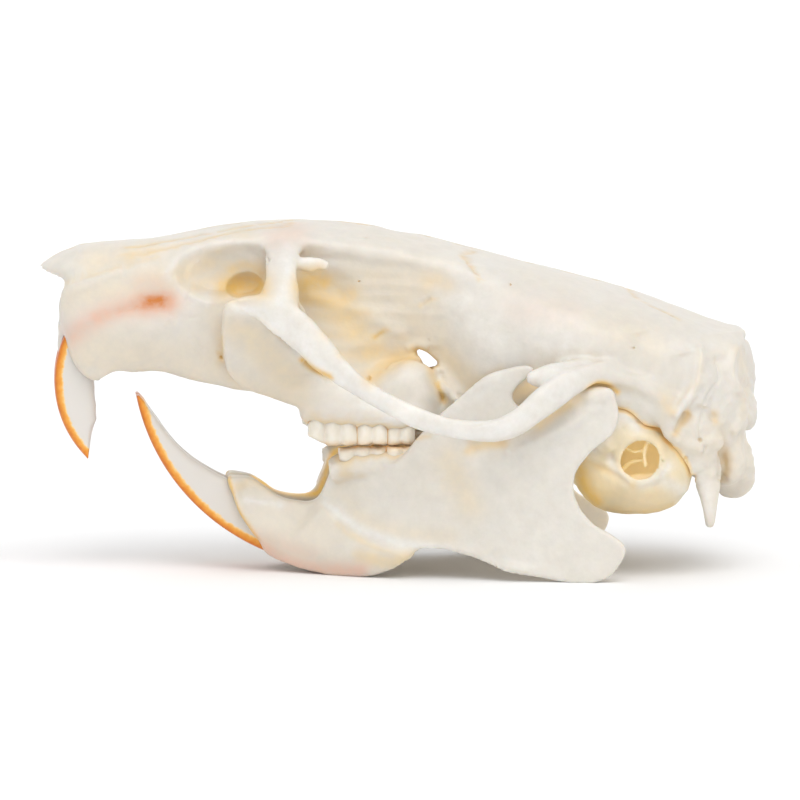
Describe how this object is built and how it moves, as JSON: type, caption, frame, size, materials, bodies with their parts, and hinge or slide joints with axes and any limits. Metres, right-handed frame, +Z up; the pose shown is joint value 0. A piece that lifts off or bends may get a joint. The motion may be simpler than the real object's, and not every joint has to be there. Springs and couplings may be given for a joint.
{
  "type": "rat skull",
  "caption": "Cleaned skull of an adult brown rat with its lower jaw in place, a long low rodent skull with curved orange front teeth, standing on the jaw bones.",
  "frame": {"origin": "the middle of the bounding box's footprint, on the surface that the jaw bones stand on", "axes": "+X from the nose to the back of the head, -Y the animal's left side, +Z up"},
  "size_m": [0.0432, 0.0218, 0.0211],
  "materials": {
    "bone": "dry bleached bone",
    "enamel": "orange enamel",
    "tooth": "ivory tooth"
  },
  "bodies": {
    "root": {"cranium": "bone", "auditory_bulla_left": "bone", "auditory_bulla_right": "bone", "mandible_left": "bone", "mandible_right": "bone", "upper_incisor_left": "enamel", "upper_incisor_right": "enamel", "lower_incisor_left": "enamel", "lower_incisor_right": "enamel", "upper_molar_1_left": "tooth", "upper_molar_1_right": "tooth", "upper_molar_2_left": "tooth", "upper_molar_2_right": "tooth", "upper_molar_3_left": "tooth", "upper_molar_3_right": "tooth", "lower_molar_1_left": "tooth", "lower_molar_1_right": "tooth", "lower_molar_2_left": "tooth", "lower_molar_2_right": "tooth", "lower_molar_3_left": "tooth", "lower_molar_3_right": "tooth"}
  },
  "joints": []
}
